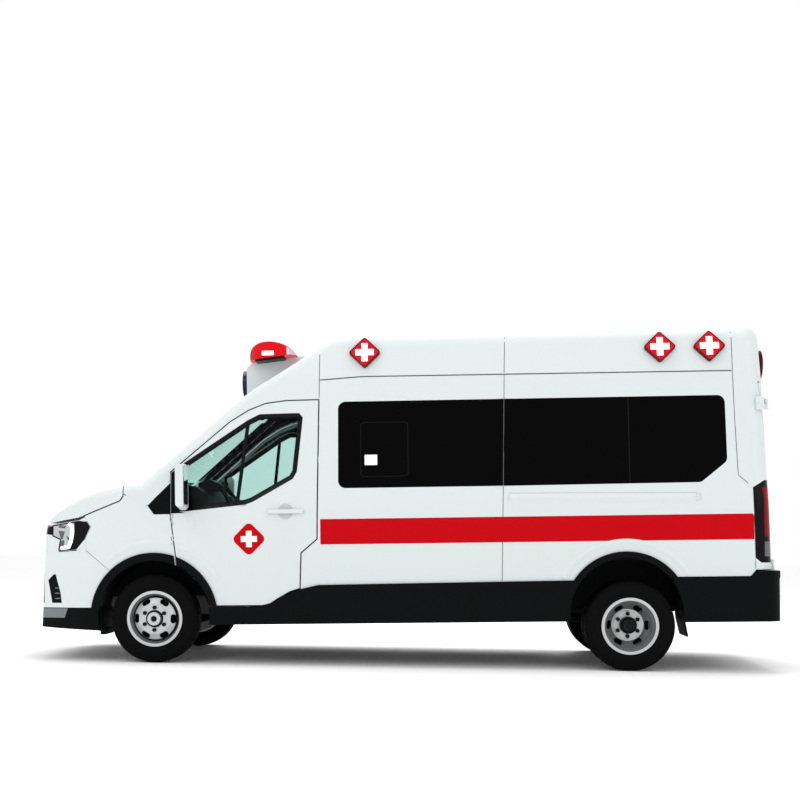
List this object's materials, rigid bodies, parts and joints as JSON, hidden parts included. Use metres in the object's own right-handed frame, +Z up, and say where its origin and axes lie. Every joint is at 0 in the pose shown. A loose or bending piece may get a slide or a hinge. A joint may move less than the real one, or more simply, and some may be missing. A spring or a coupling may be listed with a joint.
{
  "type": "ambulance",
  "caption": "High-roof van ambulance with hinged cab, rear doors and hood, steered front wheels, twin rear wheels, roof light bar, side warning lamps and a hollow cab and load space.",
  "frame": {"origin": "Centre of the bounding box's foot print, on the ground the tyres stand on.", "axes": "+X runs to the vehicle's rear, -Y to its left side (the side the picture shows), +Z up."},
  "size_m": [5.9544, 2.5, 2.7639],
  "materials": {
    "body_white": "gloss",
    "black_trim": "matte",
    "dark_grille": "satin",
    "lamp_clear": "gloss",
    "lamp_red": "gloss",
    "lamp_blue": "gloss",
    "tinted_glass": "gloss",
    "clear_glass": "gloss",
    "tyre": "matte",
    "rim": "satin",
    "chassis": "satin",
    "engine_metal": "matte",
    "cab_plastic": "matte",
    "seat_cloth": "matte",
    "lining": "matte",
    "grey_trim": "satin"
  },
  "bodies": {
    "body": {"beacon_box": "body_white", "blue_lamps": "lamp_blue", "cab_frame": "body_white", "cladding_left": "black_trim", "cladding_right": "black_trim", "cowl": "black_trim", "dashboard": "cab_plastic", "engine": "engine_metal", "exhaust": "engine_metal", "fenders": "body_white", "firewall": "chassis", "floor_pan": "chassis", "front_bumper": "body_white", "front_subframe": "chassis", "fuel_tank": "black_trim", "grille": "dark_grille", "headlamps": "lamp_clear", "light_bar": "lamp_red", "lower_bumper": "black_trim", "partition": "lining", "rear_axle": "chassis", "rear_bumper": "black_trim", "rear_frame": "body_white", "roof_panel": "body_white", "seats": "seat_cloth", "side_glass": "tinted_glass", "side_panel_left_front": "body_white", "side_panel_left_rear": "body_white", "side_panel_right_rear": "body_white", "skid_trim": "grey_trim", "sliding_door_right": "body_white", "steering_wheel": "cab_plastic", "tail_lamps": "lamp_red", "warning_lamps": "lamp_red", "wheel_liners": "black_trim", "windshield": "clear_glass"},
    "door_left": {"door_left": "body_white", "door_glass_left": "clear_glass", "door_trim_left": "black_trim", "mirror_left": "body_white"},
    "door_right": {"door_right": "body_white", "door_glass_right": "clear_glass", "door_trim_right": "black_trim", "mirror_right": "body_white"},
    "rear_door_left": {"rear_door_left": "body_white", "rear_glass_left": "tinted_glass"},
    "rear_door_right": {"rear_door_right": "body_white", "rear_glass_right": "tinted_glass"},
    "hood": {"hood": "body_white"},
    "knuckle_left": {"knuckle_left": "chassis"},
    "knuckle_right": {"knuckle_right": "chassis"},
    "wheel_front_left": {"tyre_front_left": "tyre", "rim_front_left": "rim"},
    "wheel_front_right": {"tyre_front_right": "tyre", "rim_front_right": "rim"},
    "wheels_rear_left": {"tyres_rear_left": "tyre", "rims_rear_left": "rim"},
    "wheels_rear_right": {"tyres_rear_right": "tyre", "rims_rear_right": "rim"}
  },
  "joints": [
    {"name": "door_left_hinge", "type": "hinge", "parent": "body", "child": "door_left", "pos_m": [-1.79784, -0.988, 1.00376], "axis": [0.0244, 0, -0.9997], "range_deg": [0, 70]},
    {"name": "door_right_hinge", "type": "hinge", "parent": "body", "child": "door_right", "pos_m": [-1.79784, 0.988, 1.00376], "axis": [-0.0244, 0, 0.9997], "range_deg": [0, 70]},
    {"name": "rear_door_left_hinge", "type": "hinge", "parent": "body", "child": "rear_door_left", "pos_m": [2.91448, -0.878, 0.96888], "axis": [0.0496, 0, -0.9988], "range_deg": [0, 180]},
    {"name": "rear_door_right_hinge", "type": "hinge", "parent": "body", "child": "rear_door_right", "pos_m": [2.91448, 0.878, 0.96888], "axis": [-0.0496, 0, 0.9988], "range_deg": [0, 180]},
    {"name": "hood_hinge", "type": "hinge", "parent": "body", "child": "hood", "pos_m": [-2.20979, 0, 1.40581], "axis": [0, 1, 0], "range_deg": [0, 55]},
    {"name": "steer_left", "type": "hinge", "parent": "body", "child": "knuckle_left", "pos_m": [-1.93936, -0.8, 0.35], "axis": [0, 0, 1], "range_deg": [-35, 35]},
    {"name": "steer_right", "type": "hinge", "parent": "body", "child": "knuckle_right", "pos_m": [-1.93936, 0.8, 0.35], "axis": [0, 0, 1], "range_deg": [-35, 35]},
    {"name": "wheel_front_left_spin", "type": "hinge", "parent": "knuckle_left", "child": "wheel_front_left", "pos_m": [-1.93936, -0.868, 0.35], "axis": [0, 1, 0], "continuous": true},
    {"name": "wheel_front_right_spin", "type": "hinge", "parent": "knuckle_right", "child": "wheel_front_right", "pos_m": [-1.93936, 0.868, 0.35], "axis": [0, 1, 0], "continuous": true},
    {"name": "wheels_rear_left_spin", "type": "hinge", "parent": "body", "child": "wheels_rear_left", "pos_m": [1.81064, -0.9, 0.35], "axis": [0, 1, 0], "continuous": true},
    {"name": "wheels_rear_right_spin", "type": "hinge", "parent": "body", "child": "wheels_rear_right", "pos_m": [1.81064, 0.9, 0.35], "axis": [0, 1, 0], "continuous": true}
  ],
  "couplings": [
    {"joint": "steer_right", "follows": "steer_left", "ratio": 1}
  ]
}
